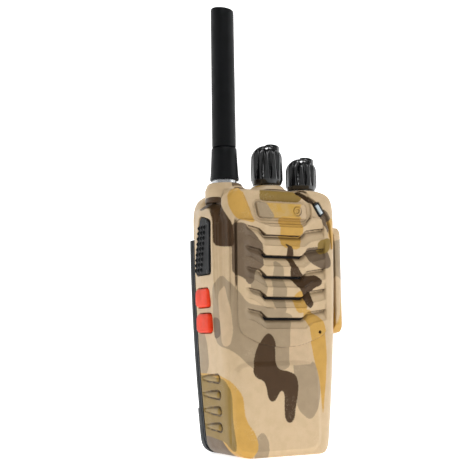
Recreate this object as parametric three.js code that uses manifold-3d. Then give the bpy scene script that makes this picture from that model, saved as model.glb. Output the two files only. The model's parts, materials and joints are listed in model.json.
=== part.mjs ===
// A handheld two-way radio: camouflage case, chassis, speaker, knobs, side buttons, aerial and battery.
// Millimetres. +X is the right of a person facing the front, the front faces -Y, and +Z is up.
// The origin is the centre of the flat base.

import * as THREE from "three";
import { mergeVertices } from "three/addons/utils/BufferGeometryUtils.js";
import Module from "manifold-3d";

const wasm = await Module();
wasm.setup();

// ---------- driving dimensions ----------

const CASE = {
  front: -14.6, back: 17, top: 110, wall: 1.8,
  halfWidthLow: 22.5, halfWidthHigh: 27.7, widestAt: 95,
  frontCorner: 8, rearCorner: 5.6, bottomCorner: 7, shoulder: 13, topEdge: 4.5, bottomEdge: 1.2,
};
const PANEL_RISE = 0.9;
const GAP = 0.3;

// The battery takes everything behind this plane, up to this height.
const BAY = { front: 12.9, top: 90.2 };
const BATTERY = { back: 18.4, rearCorner: 2.6, seam: 14.4, footTop: 19, footBack: 19.8 };

const GRILLE = {
  grooves: 5, top: 94.4, pitch: 8.5, height: 4.7, depth: 2.2, slitHeight: 0.8, slitInset: 1.5,
};
const FACE = CASE.front - PANEL_RISE;

const ANTENNA = {
  x: -19.5, y: 0, ringTop: 112.3, rim: 7, root: 8.2, sleeveBottom: 113.7, sleeveTop: 127.5, top: 188,
};
const CHANNEL = { x: 1, y: 0, ringTop: 112.4, rim: 6.4, root: 8.6, knobRadius: 6.8, knobTop: 130.6 };
const VOLUME = { x: 18.2, y: 0, ringTop: 110.9, rim: 6.4, root: 7.3, knobRadius: 6.7, knobTop: 126 };
const KNOB = { flutes: 12, fluteDepth: 0.1, ring: 2.4, gap: 0.4, bore: 3.3 };

// The talk button's outline in y and z: its top slopes down to the front and its rear edge leans.
const TALK = {
  outline: [[-4, 96.2], [-3.4, 74.4], [10.6, 74.4], [10.8, 82], [6, 98.4], [3.2, 98.4]],
  corner: 1.2, face: -29.2,
};
const KEYS = {
  upper: { y: 5.6, z: 64.9 }, lower: { y: 4.9, z: 54.4 }, depth: 12, height: 7.8, corner: 2, face: -28.6,
};
const FLANGE = 0.9;
const COVER = {
  yFront: -10.6, yRear: 4.6, zLow: 49.4, zHigh: 95.6, face: 32.3, seat: 27.9, hinge: { x: 29.4, y: 6.8 },
};
const RIB = { heights: [31.8, 25.2, 18.6, 12], radius: 1.7, rise: 1, rear: 12.6 };
const HINGE = { pinRadius: 0.6, holeRadius: 0.9, knuckleRadius: 1.4, earHeight: 2, earHalf: 1.2 };
const JACKS = {
  y: -1, half: 4, low: 68, high: 88, upper: { z: 83, radius: 1.75 }, lower: { z: 72, radius: 1.25 },
};

// Where the stems of the side buttons end, just short of their switches.
const STEM_END = -23.2;
const TALK_SWITCH = { y: 3.6, z: 87 };

const SPEAKER = { x: 0, z: 73.5, radius: 18, magnetRadius: 10 };
const MICROPHONE = { x: 16.3, z: 50.1, radius: 3, holeRadius: 0.6 };
const BOARD = { front: -1.6, back: -0.4, low: 12, high: 96, halfWidth: 23 };
const POCKET = { half: 18.4, low: 10.6, high: 86, floor: 2.2, wall: 1.2 };
const CASE_SCREW = { x: 16.6, z: 6.4, pillar: 2.6, headY: 12.9 };
const CLIP_SCREW = { x: 9, z: 97, headY: 17.2 };
const LAMP = { x: -8.2, y: 6.4, radius: 2.2 };

// ---------- solids ----------

function signedVolume(positions, triangles) {
  let sum = 0;
  const [a, b, c] = [new THREE.Vector3(), new THREE.Vector3(), new THREE.Vector3()];
  for (let i = 0; i < triangles.length; i += 3) {
    a.fromArray(positions, triangles[i] * 3);
    b.fromArray(positions, triangles[i + 1] * 3);
    c.fromArray(positions, triangles[i + 2] * 3);
    sum += a.dot(b.cross(c));
  }
  return sum / 6;
}

// Turns a closed geometry into a solid, whichever way its outline was drawn.
function solidOf(source) {
  const bare = source.clone();
  bare.deleteAttribute("normal");
  bare.deleteAttribute("uv");
  const merged = mergeVertices(bare, 1e-4);
  const vertProperties = new Float32Array(merged.attributes.position.array);
  const triVerts = new Uint32Array(merged.index.array);
  if (signedVolume(vertProperties, triVerts) < 0) {
    for (let i = 0; i < triVerts.length; i += 3) {
      [triVerts[i], triVerts[i + 1]] = [triVerts[i + 1], triVerts[i]];
    }
  }
  return new wasm.Manifold(new wasm.Mesh({ numProp: 3, vertProperties, triVerts }));
}

function geometryOf(solid) {
  const mesh = solid.getMesh();
  const geometry = new THREE.BufferGeometry();
  geometry.setAttribute("position", new THREE.BufferAttribute(mesh.vertProperties, 3));
  geometry.setIndex(new THREE.BufferAttribute(mesh.triVerts, 1));
  geometry.computeVertexNormals();
  return geometry;
}

// A range of values, wider by the gap at both ends.
const around = (low, high) => [low - GAP, high + GAP];
const join = (first, ...others) => others.reduce((sum, next) => sum.add(next), first);
const cut = (first, ...others) => others.reduce((rest, next) => rest.subtract(next), first);

function box(x, y, z) {
  const geometry = new THREE.BoxGeometry(x[1] - x[0], y[1] - y[0], z[1] - z[0]);
  geometry.translate((x[0] + x[1]) / 2, (y[0] + y[1]) / 2, (z[0] + z[1]) / 2);
  return solidOf(geometry);
}

function extruded(shape, depth, curveSegments = 4) {
  return new THREE.ExtrudeGeometry(shape, { depth, bevelEnabled: false, curveSegments });
}

// A prism whose outline is drawn in x (right) and z (up), between two values of y.
function prismY(shape, y, curveSegments) {
  const geometry = extruded(shape, y[1] - y[0], curveSegments);
  geometry.rotateX(Math.PI / 2);
  geometry.translate(0, y[1], 0);
  return solidOf(geometry);
}

// A prism whose outline is drawn in y (back) and z (up), between two values of x.
function prismX(shape, x, curveSegments) {
  const geometry = extruded(shape, x[1] - x[0], curveSegments);
  geometry.applyMatrix4(new THREE.Matrix4().set(0, 0, 1, x[0], 1, 0, 0, 0, 0, 1, 0, 0, 0, 0, 0, 1));
  return solidOf(geometry);
}

// A prism whose outline is drawn in x and y, between two values of z.
function prismZ(shape, z, curveSegments) {
  const geometry = extruded(shape, z[1] - z[0], curveSegments);
  geometry.translate(0, 0, z[0]);
  return solidOf(geometry);
}

// A solid turned about an upright axis; the profile is [radius, height] pairs from axis to axis.
function turned(profile, x, y, segments = 24) {
  const geometry = new THREE.LatheGeometry(profile.map(([r, h]) => new THREE.Vector2(r, h)), segments);
  geometry.rotateX(Math.PI / 2);
  geometry.translate(x, y, 0);
  return solidOf(geometry);
}

// The same about an axis that runs front to back; the heights are values of y.
function turnedAlongY(profile, x, z, segments = 24) {
  const geometry = new THREE.LatheGeometry(profile.map(([r, h]) => new THREE.Vector2(r, h)), segments);
  geometry.translate(x, 0, z);
  return solidOf(geometry);
}

const rod = (x, y, radius, z, segments = 20) =>
  turned([[0, z[0]], [radius, z[0]], [radius, z[1]], [0, z[1]]], x, y, segments);
const rodAlongY = (x, z, radius, y, segments = 20) =>
  turnedAlongY([[0, y[0]], [radius, y[0]], [radius, y[1]], [0, y[1]]], x, z, segments);

// Joins rings of equally many points, each a convex outline, into a closed solid.
function loft(rings) {
  const count = rings[0].length;
  const positions = rings.flat().flat();
  const index = [];
  for (let ring = 0; ring + 1 < rings.length; ring++) {
    for (let i = 0; i < count; i++) {
      const here = ring * count + i;
      const next = ring * count + ((i + 1) % count);
      index.push(here, next, next + count, here, next + count, here + count);
    }
  }
  const last = (rings.length - 1) * count;
  for (let i = 1; i + 1 < count; i++) {
    index.push(0, i + 1, i, last, last + i, last + i + 1);
  }
  const geometry = new THREE.BufferGeometry();
  geometry.setAttribute("position", new THREE.Float32BufferAttribute(positions, 3));
  geometry.setIndex(index);
  return solidOf(geometry);
}

function polygon(points) {
  return new THREE.Shape(points.map(([u, v]) => new THREE.Vector2(u, v)));
}

function roundedRectangle(u, v, radius) {
  const shape = new THREE.Shape();
  shape.absarc(u[1] - radius, v[0] + radius, radius, -Math.PI / 2, 0);
  shape.absarc(u[1] - radius, v[1] - radius, radius, 0, Math.PI / 2);
  shape.absarc(u[0] + radius, v[1] - radius, radius, Math.PI / 2, Math.PI);
  shape.absarc(u[0] + radius, v[0] + radius, radius, Math.PI, Math.PI * 1.5);
  shape.closePath();
  return shape;
}

// Where two lines cross, each given as its normal and its distance from the origin.
function crossing(one, other) {
  const spread = one.nu * other.nv - one.nv * other.nu;
  return new THREE.Vector2(
    (one.reach * other.nv - other.reach * one.nv) / spread,
    (one.nu * other.reach - other.nu * one.reach) / spread);
}

// A convex counterclockwise outline with rounded corners, grown outwards by the margin.
function roundedPolygon(points, radius, margin) {
  const edges = points.map(([u, v], i) => {
    const [nextU, nextV] = points[(i + 1) % points.length];
    const length = Math.hypot(nextU - u, nextV - v);
    const nu = (nextV - v) / length;
    const nv = (u - nextU) / length;
    return { nu, nv, reach: nu * u + nv * v + margin };
  });
  const corners = edges.map((edge, i) => crossing(edges.at(i - 1), edge));
  const shape = new THREE.Shape();
  corners.forEach((corner, i) => {
    const before = corners.at(i - 1);
    const after = corners[(i + 1) % corners.length];
    const rounding = (other) => Math.min(radius + margin, 0.45 * corner.distanceTo(other));
    const start = corner.clone().add(before.clone().sub(corner).setLength(rounding(before)));
    const end = corner.clone().add(after.clone().sub(corner).setLength(rounding(after)));
    if (i === 0) {
      shape.moveTo(start.x, start.y);
    } else {
      shape.lineTo(start.x, start.y);
    }
    shape.quadraticCurveTo(corner.x, corner.y, end.x, end.y);
  });
  shape.closePath();
  return shape;
}

// ---------- the outer form that the case and the battery share ----------

// How far a rounded edge has fallen back, this far from the end that it rounds off.
function fallBack(distance, radius) {
  if (radius <= 0 || distance >= radius) {
    return 0;
  }
  const run = radius - Math.max(distance, 0);
  return radius - Math.sqrt(radius * radius - run * run);
}

function halfWidth(z) {
  const rise = 1 - Math.min(z / CASE.widestAt, 1);
  return CASE.halfWidthHigh - (CASE.halfWidthHigh - CASE.halfWidthLow) * rise * rise;
}

const CORNER_STEPS = 4;

// One level outline of the case, this far inside its skin (outside, if negative).
function caseRing(z, inset, rear) {
  const fromBase = z - inset;
  const fromTop = CASE.top - inset - z;
  const sideEdge = Math.max(
    fallBack(fromBase, CASE.bottomCorner - inset), fallBack(fromTop, CASE.shoulder - inset));
  const faceEdge = Math.max(
    fallBack(fromBase, CASE.bottomEdge - inset), fallBack(fromTop, CASE.topEdge - inset));
  const half = halfWidth(z) - inset - sideEdge;
  const front = CASE.front + inset + faceEdge;
  const back = rear.back - inset - faceEdge;
  const corners = [
    { x: half, y: back, radius: rear.rearCorner - inset, sx: 1, sy: 1, start: 0 },
    { x: -half, y: back, radius: rear.rearCorner - inset, sx: -1, sy: 1, start: 0.5 },
    { x: -half, y: front, radius: CASE.frontCorner - inset, sx: -1, sy: -1, start: 1 },
    { x: half, y: front, radius: CASE.frontCorner - inset, sx: 1, sy: -1, start: 1.5 },
  ];
  const ring = [];
  for (const corner of corners) {
    for (let i = 0; i <= CORNER_STEPS; i++) {
      const angle = Math.PI * (corner.start + 0.5 * i / CORNER_STEPS);
      ring.push([
        corner.x - corner.sx * corner.radius + corner.radius * Math.cos(angle),
        corner.y - corner.sy * corner.radius + corner.radius * Math.sin(angle),
        z,
      ]);
    }
  }
  return ring;
}

function caseForm(inset, rear = CASE) {
  const low = inset;
  const high = CASE.top - inset;
  const fromBase = [0, 0.6, 2.2, 4.4, 7.5, 20, 45, 70];
  const fromTop = [13, 8.8, 6, 3.6, 1.6, 0.5, 0];
  const levels = [...fromBase.map((d) => low + d), ...fromTop.map((d) => high - d)];
  return loft(levels.map((z) => caseRing(z, inset, rear)));
}

const skin = caseForm(0);
const grown = caseForm(-PANEL_RISE);
const bay = box([-40, 40], [BAY.front, 40], [-5, BAY.top]);

// ---------- front case ----------

function lowerPanelShape() {
  const shape = new THREE.Shape();
  shape.moveTo(-23, 6);
  shape.lineTo(-23, 33);
  shape.quadraticCurveTo(-23, 37, -19, 37);
  shape.lineTo(6.5, 37);
  shape.quadraticCurveTo(15, 37, 15, 28);
  shape.lineTo(15, 6);
  shape.quadraticCurveTo(15, 2.5, 11.5, 2.5);
  shape.lineTo(-19.5, 2.5);
  shape.quadraticCurveTo(-23, 2.5, -23, 6);
  return shape;
}

function grillePanelShape() {
  const shape = new THREE.Shape();
  shape.moveTo(-21.9, 93.5);
  shape.lineTo(-21.9, 54);
  shape.quadraticCurveTo(-21.5, 47.5, -13.2, 45.9);
  shape.quadraticCurveTo(0, 42, 11.9, 46.3);
  shape.quadraticCurveTo(21.5, 49.5, 22.3, 56);
  shape.lineTo(22.6, 91);
  shape.lineTo(20.4, 96.4);
  shape.lineTo(-19, 96.4);
  shape.closePath();
  return shape;
}

// The raised surround of the talk button on the left side, drawn in y and z.
function talkPadShape() {
  const shape = new THREE.Shape();
  shape.moveTo(12.9, 70);
  shape.lineTo(-5.6, 72);
  shape.lineTo(-6.6, 86);
  shape.quadraticCurveTo(-6.2, 99, 2, 102.4);
  shape.lineTo(12.9, 102.4);
  shape.closePath();
  return shape;
}

// A groove's upper edge, as x and the drop below its left end: the middle dips between two steps.
const GROOVE_PATH = [[-19.3, 0], [-11.5, 1.5], [-8.5, 4.1], [8.2, 4.2], [11.1, 1.8], [19.8, 0.6]];

// A louvre groove: a steep wall under the upper edge, and a floor that ramps out to the face.
function grooveCutter(top) {
  return loft(GROOVE_PATH.map(([x, drop]) => [
    [x, FACE - 1, top - drop],
    [x, FACE + GRILLE.depth, top - drop - 0.3],
    [x, FACE + GRILLE.depth, top - drop - 1.5],
    [x, FACE, top - drop - GRILLE.height],
    [x, FACE - 1, top - drop - GRILLE.height],
  ]));
}

// The open slit at the foot of a groove's wall.
function slitCutter(top) {
  const behind = CASE.front + CASE.wall + 1;
  return loft(GROOVE_PATH.map(([x, drop]) => {
    const within = Math.sign(x) * Math.min(Math.abs(x), GROOVE_PATH.at(-1)[0] - GRILLE.slitInset);
    const high = top - drop - 0.5;
    const low = high - GRILLE.slitHeight;
    return [[within, FACE + 1, high], [within, behind, high], [within, behind, low], [within, FACE + 1, low]];
  }));
}

// A thumb rib: a teardrop lying front to back on the side, its round end forward. The ends line up
// down the case, so they lie further back where it is narrower.
function thumbRib(side, z) {
  const front = 21.1 - halfWidth(z);
  const profile = [[0, front]];
  for (let i = 1; i <= 4; i++) {
    const angle = Math.PI * 0.5 * i / 4;
    profile.push([RIB.radius * Math.sin(angle), front + RIB.radius * (1 - Math.cos(angle))]);
  }
  profile.push([RIB.radius * 0.62, 6], [0.25, RIB.rear], [0, RIB.rear]);
  return turnedAlongY(profile, side * (halfWidth(z) - RIB.radius + RIB.rise), z, 10);
}

// The ring of the case that an aerial or a knob stands on.
function collar({ x, y, ringTop, rim, root }) {
  return turned([[0, 104], [root, 104], [root, CASE.top - 0.6], [rim, ringTop], [0, ringTop]], x, y, 28);
}

const keyWindow = (key, margin) => roundedRectangle(
  [key.y - KEYS.depth / 2 - margin, key.y + KEYS.depth / 2 + margin],
  [key.z - KEYS.height / 2 - margin, key.z + KEYS.height / 2 + margin], KEYS.corner + margin);
const talkWindow = (margin) => roundedPolygon(TALK.outline, TALK.corner, margin);
const labelOutline = (margin) => polygon([
  [-13 - margin, 103.4 + margin], [-11.3 - margin, 97.2 - margin],
  [11.4 + margin, 97.2 - margin], [10.6 + margin, 103.4 + margin]]);
const lensOutline = (margin) => {
  const shape = roundedRectangle([-1.4 - margin, 1.4 + margin], [-2.8 - margin, 2.8 + margin], 0.6);
  const turn = THREE.MathUtils.degToRad(33);
  return polygon(shape.getPoints(3).slice(0, -1).map((p) => [
    17.6 + p.x * Math.cos(turn) + p.y * Math.sin(turn) * -1,
    101.6 + p.x * Math.sin(turn) + p.y * Math.cos(turn)]));
};

function frontCase() {
  const floorSlot = box([3.2, 10.2], [8.4, 11.8], [-1, CASE.wall + 1]);
  const outside = cut(
    join(
      skin,
      grown.intersect(prismY(grillePanelShape(), [-20, -4])),
      grown.intersect(prismY(lowerPanelShape(), [-20, -4])),
      grown.intersect(prismX(talkPadShape(), [-40, -20])),
      collar(ANTENNA),
      collar(CHANNEL),
      collar(VOLUME),
      ...RIB.heights.flatMap((z) => [thumbRib(-1, z), thumbRib(1, z)]),
    ),
    bay,
    box([-40, 40], [-40, 40], [-10, 0]),
  );
  const sides = [-1, 1];
  const pillars = sides.map((side) =>
    rodAlongY(side * CASE_SCREW.x, CASE_SCREW.z, CASE_SCREW.pillar, [CASE.front + 1, 8.8], 14));
  const pilotHoles = sides.map((side) => rodAlongY(side * CASE_SCREW.x, CASE_SCREW.z, 1.15, [0, 9], 12));
  const { hinge, zLow, zHigh } = COVER;
  const ears = [[zLow, zLow + HINGE.earHeight], [zHigh - HINGE.earHeight, zHigh]].map((z) =>
    box([26, hinge.x + HINGE.earHalf], [hinge.y - HINGE.earHalf, hinge.y + HINGE.earHalf], z));
  const shell = join(cut(outside, caseForm(CASE.wall)), ...ears, ...pillars);
  const grooves = [];
  for (let i = 0; i < GRILLE.grooves; i++) {
    const top = GRILLE.top - i * GRILLE.pitch;
    grooves.push(grooveCutter(top), slitCutter(top));
  }
  return cut(
    shell,
    ...grooves,
    ...pilotHoles,
    box([-19, 19], [BAY.front, 20], [BAY.top, 104]),
    floorSlot,
    prismY(labelOutline(GAP), [-20, CASE.front + 0.9]),
    prismY(lensOutline(GAP), [-20, -10]),
    rodAlongY(MICROPHONE.x, MICROPHONE.z, MICROPHONE.holeRadius, [-20, -12], 10),
    prismX(talkWindow(GAP), [-35, -22]),
    prismX(keyWindow(KEYS.upper, GAP), [-35, -22]),
    prismX(keyWindow(KEYS.lower, GAP), [-35, -22]),
    box([22, 30], around(JACKS.y - JACKS.half, JACKS.y + JACKS.half), around(JACKS.low, JACKS.high)),
    rod(ANTENNA.x, ANTENNA.y, 5.7, [100, 120], 24),
    rod(CHANNEL.x, CHANNEL.y, 3.6, [100, 120], 20),
    rod(VOLUME.x, VOLUME.y, 3.6, [100, 120], 20),
    rod(LAMP.x, LAMP.y, LAMP.radius + 0.2, [100, 112], 16),
    rod(hinge.x, hinge.y, HINGE.holeRadius, [zLow + 0.7, zHigh - 0.7], 12),
  );
}

// ---------- pieces set into the case ----------

function statusLens() {
  return prismY(lensOutline(0), [-15.2, -11.6]);
}

function jackBlock() {
  const block = box([23.4, 27.4], [JACKS.y - JACKS.half, JACKS.y + JACKS.half], [JACKS.low, JACKS.high]);
  const bores = [JACKS.upper, JACKS.lower].map(({ z, radius }) => solidOf(
    new THREE.CylinderGeometry(radius, radius, 6, 14).rotateZ(Math.PI / 2).translate(28, JACKS.y, z)));
  return cut(block, ...bores);
}

// ---------- chassis and what it carries ----------

function chassisFrame() {
  const low = 3;
  const { half, wall, floor } = POCKET;
  const tray = box([-half - wall, half + wall], [floor - wall, 9.4], [POCKET.low - wall, POCKET.high + wall]);
  const plate = box([-30, 30], [9.2, 12.2], [low, 106.2]);
  const shelf = box([-30, 30], [-8, 9.4], [104.4, 106.2]);
  const head = box([-18.6, 18.6], [12, 16.6], [BAY.top + 0.4, 103.6]);
  return cut(
    join(join(plate, tray, shelf).intersect(caseForm(CASE.wall + GAP)), head),
    box([-half, half], [floor, 20], [POCKET.low, POCKET.high]),
    box([-9, 15], [8, 20], [low - 1, 8.2]),
    box([-30, -22.4], [8, 20], [48.5, 101]),
    rod(ANTENNA.x, ANTENNA.y, 3.4, [100, 110], 20),
    rod(CHANNEL.x, CHANNEL.y, 3.4, [100, 110], 20),
    rod(VOLUME.x, VOLUME.y, 3.4, [100, 110], 20),
    rod(LAMP.x, LAMP.y, LAMP.radius + 0.2, [100, 110], 16),
    ...[-1, 1].flatMap((side) => [screwHole(side, CASE_SCREW), screwHole(side, CLIP_SCREW)]),
    ...[-1, 0, 1].map((k) => box([k * 7 - 1.4, k * 7 + 1.4], [floor - 2, floor + 1], [77, 81])),
  );
}

// A clearance hole with a counterbore for a screw's head.
function screwHole(side, { x, z, headY }) {
  return join(
    rodAlongY(side * x, z, 1.3, [headY - 4.6, headY], 12),
    rodAlongY(side * x, z, 2.3, [headY - 1.5, headY + 1], 14));
}

function circuitBoard() {
  return cut(
    box([-BOARD.halfWidth, BOARD.halfWidth], [BOARD.front, BOARD.back], [BOARD.low, BOARD.high]),
    box([-26, -19.6], [-3, 1], [48, 101]),
    box([20.6, 26], [-3, 1], [66, 90]),
  ).intersect(caseForm(CASE.wall + GAP));
}

const shieldCan = () => box([-17, 17], [-4, BOARD.front], [16, 44]);

function speakerFrame() {
  const outer = SPEAKER.radius;
  return turnedAlongY([
    [outer - 3, -12.1], [outer, -12.1], [outer, -11], [12, -7.2], [10.4, -7.2],
    [10.4, -8], [11.6, -8], [outer - 3, -11.2], [outer - 3, -12.1],
  ], SPEAKER.x, SPEAKER.z, 28);
}

function speakerCone() {
  return turnedAlongY([
    [0, -10.2], [5, -10.4], [5.6, -9.6], [14.4, -11.9], [14.4, -11.5], [6, -8.9], [0, -8.9],
  ], SPEAKER.x, SPEAKER.z, 24);
}

const speakerMagnet = () => rodAlongY(SPEAKER.x, SPEAKER.z, SPEAKER.magnetRadius, [-8.4, -4.2], 24);
const speakerCloth = () => rodAlongY(SPEAKER.x, SPEAKER.z, SPEAKER.radius + 2, [-12.7, -12.3], 28);
const microphone = () => rodAlongY(MICROPHONE.x, MICROPHONE.z, MICROPHONE.radius, [-12.4, -9.8], 18);

// A small push switch on the left wall, its plunger towards the button that presses it.
const sideSwitch = ({ y, z }) => join(
  box([-21.6, -20], [y - 2.2, y + 2.2], [z - 2.2, z + 2.2]),
  box([-22.3, -21.5], [y - 1, y + 1], [z - 1, z + 1]));

// A rotary switch: a square body under the chassis shelf with a threaded neck through it.
const rotarySwitch = (place, half) => cut(
  join(
    box([place.x - half, place.x + half], [place.y - half, place.y + half], [97.6, 104.2]),
    rod(place.x, place.y, 3.1, [104, 110.6], 20)),
  rod(place.x, place.y, 1.9, [100, 112], 16));

const antennaSocket = () => cut(
  join(
    box([ANTENNA.x - 2.6, ANTENNA.x + 4.4], [ANTENNA.y - 4, ANTENNA.y + 4], [100, 104.2]),
    rod(ANTENNA.x, ANTENNA.y, 3.1, [104, 112.4], 20)),
  rod(ANTENNA.x, ANTENNA.y, 1.1, [103, 114], 12));

const lampLens = () => turned(
  [[0, 107.6], [2, 107.6], [2, 110.1], [1.2, 110.7], [0, 110.9]], LAMP.x, LAMP.y, 16);
const lampBody = () => turned(
  [[0, 101.6], [1.7, 101.6], [1.7, 105.8], [1, 106.9], [0, 107.2]], LAMP.x, LAMP.y, 14);

// Three sprung contacts on one block, between the board and the battery.
function contactBlock() {
  const block = box([-9.4, 9.4], [-0.2, 0.8], [76, 82]);
  return join(block, ...[-1, 0, 1].map((k) => box([k * 7 - 1, k * 7 + 1], [0.7, 2.4], [78, 80])));
}

// A machine screw along Y, its head to the rear, with a straight driver slot.
function screwAlongY(side, place, length) {
  const { z, headY } = place;
  const x = side * place.x;
  const screw = turnedAlongY([
    [0, headY - length], [0.9, headY - length], [0.9, headY - 1.2],
    [2, headY - 1.2], [2, headY - 0.3], [1.6, headY], [0, headY],
  ], x, z, 14);
  return cut(screw, box([x - 3, x + 3], [headY - 0.5, headY + 1], [z - 0.25, z + 0.25]));
}

// ---------- buttons ----------

// A cap that stands out through its window, on a wider flange that stops it inside the wall.
function pressedPiece(cap, flange, face, lowEdge, stem) {
  const seat = -(halfWidth(lowEdge) - CASE.wall - GAP);
  return join(
    prismX(cap, [face, seat]), prismX(flange, [seat, seat + 0.8]), box([seat + 0.7, STEM_END], ...stem));
}

const talkButton = () => pressedPiece(
  talkWindow(0), talkWindow(FLANGE), TALK.face, 74,
  [[TALK_SWITCH.y - 1.5, TALK_SWITCH.y + 1.5], [TALK_SWITCH.z - 2, TALK_SWITCH.z + 2]]);
const sideKey = (key) => pressedPiece(
  keyWindow(key, 0), keyWindow(key, FLANGE), KEYS.face, key.z - 5,
  [[key.y - 1.2, key.y + 1.2], [key.z - 1.2, key.z + 1.2]]);

// ---------- knobs and aerial ----------

// A fluted knob: V-shaped flutes up the side, a domed top and a raised pointer.
function knob(place) {
  const radius = place.knobRadius;
  const base = place.ringTop + KNOB.gap;
  const top = place.knobTop;
  const outline = [];
  for (let i = 0; i < KNOB.flutes * 2; i++) {
    const angle = Math.PI * i / KNOB.flutes;
    const reach = i % 2 ? radius * (1 - KNOB.fluteDepth) : radius;
    outline.push([place.x + reach * Math.cos(angle), place.y + reach * Math.sin(angle)]);
  }
  const form = turned([
    [0, base], [radius * 0.96, base], [radius, base + 0.8], [radius * 0.98, top - 5],
    [radius * 0.82, top - 2.2], [radius * 0.45, top - 0.9], [0, top - 0.6],
  ], place.x, place.y, 24);
  const fluted = form.intersect(prismZ(polygon(outline), [base + KNOB.ring, top + 1]));
  const rim = form.intersect(box([place.x - 9, place.x + 9], [-9, 9], [base - 1, base + KNOB.ring + 0.2]));
  const pointer = box([place.x - 0.8, place.x + 0.8], [place.y - radius * 0.75, place.y], [top - 4, top]);
  return cut(join(fluted, rim, pointer), rod(place.x, place.y, KNOB.bore, [base - 1, top - 4.6], 20));
}

// The turned shaft that a knob grips, with the flat that keys it.
function shaft({ x, y, knobTop }) {
  const high = knobTop - 5;
  return cut(
    join(rod(x, y, 1.7, [101, high], 16), rod(x, y, 3, [high - 8, high], 16)),
    box([x - 4, x + 4], [y + 2.2, y + 4], [high - 7, high + 1]));
}

const antennaPin = () => rod(ANTENNA.x, ANTENNA.y, 0.7, [105.6, 117.6], 10);

const antennaConnector = () => cut(
  rod(ANTENNA.x, ANTENNA.y, 5.2, [108.4, 116.4], 24),
  rod(ANTENNA.x, ANTENNA.y, 3.4, [107, 113], 20),
  rod(ANTENNA.x, ANTENNA.y, 1, [112, 118], 10));

const antennaSleeve = () => cut(
  turned([
    [0, ANTENNA.sleeveBottom], [6.05, ANTENNA.sleeveBottom], [6.05, ANTENNA.sleeveBottom + 1],
    [5.25, ANTENNA.sleeveTop], [0, ANTENNA.sleeveTop],
  ], ANTENNA.x, ANTENNA.y, 28),
  rod(ANTENNA.x, ANTENNA.y, 5.3, [ANTENNA.sleeveBottom - 1, 116.6], 24),
  rod(ANTENNA.x, ANTENNA.y, 1, [115, 118.2], 10));

const antennaWhip = () => turned([
  [0, ANTENNA.sleeveTop + 0.2], [5.05, ANTENNA.sleeveTop + 0.2], [4.75, ANTENNA.top - 2],
  [4.3, ANTENNA.top - 0.6], [3.2, ANTENNA.top], [0, ANTENNA.top],
], ANTENNA.x, ANTENNA.y, 24);

// ---------- accessory cover ----------

function accessoryCover() {
  const shape = new THREE.Shape();
  shape.moveTo(COVER.yRear, COVER.zLow);
  shape.lineTo(-3, COVER.zLow);
  shape.quadraticCurveTo(COVER.yFront, COVER.zLow + 1, COVER.yFront, COVER.zLow + 8);
  shape.lineTo(COVER.yFront, COVER.zHigh - 8);
  shape.quadraticCurveTo(COVER.yFront, COVER.zHigh - 1, -3, COVER.zHigh);
  shape.lineTo(COVER.yRear, COVER.zHigh);
  shape.closePath();
  const corner = prismZ(polygon([
    [COVER.seat, COVER.yFront], [COVER.seat + 1, COVER.yFront], [COVER.face - 0.8, COVER.yFront + 1.2],
    [COVER.face, COVER.yFront + 2.6], [COVER.face, 3],
    [COVER.face - 1, COVER.yRear], [COVER.seat, COVER.yRear],
  ]), [COVER.zLow, COVER.zHigh]);
  const plate = prismX(shape, [COVER.seat, COVER.face]).intersect(corner);
  const { x, y } = COVER.hinge;
  const inset = HINGE.earHeight + 0.4;
  const knuckleZ = [COVER.zLow + inset, COVER.zHigh - inset];
  const knuckle = join(
    rod(x, y, HINGE.knuckleRadius, knuckleZ, 14), box([x - 0.9, x + 0.9], [4, y], knuckleZ));
  return cut(
    join(plate, knuckle),
    box([COVER.seat - 1, COVER.seat + 2.2], [-6.6, 3.4], [COVER.zLow + 3, COVER.zHigh - 3]),
    rod(x, y, HINGE.holeRadius, [COVER.zLow, COVER.zHigh], 12));
}

const coverPin = () => rod(
  COVER.hinge.x, COVER.hinge.y, HINGE.pinRadius, [COVER.zLow + 1, COVER.zHigh - 1], 10);

// ---------- battery ----------

const batteryForm = (y) => caseForm(0, BATTERY).intersect(box([-40, 40], y, [0, BAY.top - 0.4]));

function batteryTray() {
  const block = box(
    [-POCKET.half + 0.6, POCKET.half - 0.6], [POCKET.floor + 0.5, BAY.front + 0.6],
    [POCKET.low + 1.4, POCKET.high - 0.6]);
  const hollow = box(
    [-POCKET.half + 1.8, POCKET.half - 1.8], [POCKET.floor + 1.7, 20],
    [POCKET.low + 2.6, POCKET.high - 1.8]);
  const lockTab = cut(
    box([-3, 3], [8.2, BAY.front + 0.6], [3.4, 5.8]), box([1.4, 4], [9.6, 11.6], [3, 6]));
  return join(cut(join(batteryForm([BAY.front + GAP, BATTERY.seam]), block), hollow), lockTab);
}

// The cover's back, and the thicker foot that a thumb pulls, a little inside the cover's sides.
function batteryCover() {
  const back = batteryForm([BATTERY.seam + GAP, BATTERY.back]);
  const inset = 0.2;
  const foot = caseForm(inset, { back: BATTERY.footBack + inset, rearCorner: BATTERY.rearCorner });
  return join(back, foot.intersect(box([-40, 40], [BATTERY.seam + 1, 40], [0, BATTERY.footTop])));
}

const batteryCell = () => box([-16.2, 16.2], [4.4, 12.6], [18, 70]);
const batteryCircuit = () => box([-14, 14], [4.6, 5.8], [72, 82]);

// Three flat contacts on one thin strip.
function batteryContacts() {
  const strip = box([-9, 9], [4.4, 4.5], [79, 79.4]);
  return join(strip, ...[-1, 0, 1].map((k) => box([k * 7 - 1.2, k * 7 + 1.2], [4.1, 4.5], [77.4, 80.6])));
}

const batteryLock = () => join(
  box([3.3, 13.6], [8.3, 11.9], [CASE.wall + 0.3, CASE.wall + 1.3]),
  box([5.6, 9.6], [8.8, 11.4], [0.5, CASE.wall + 0.5]),
  box([3.3, 6], [9.9, 11.3], [CASE.wall + 1.2, 5.4]));

// ---------- materials ----------

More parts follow.
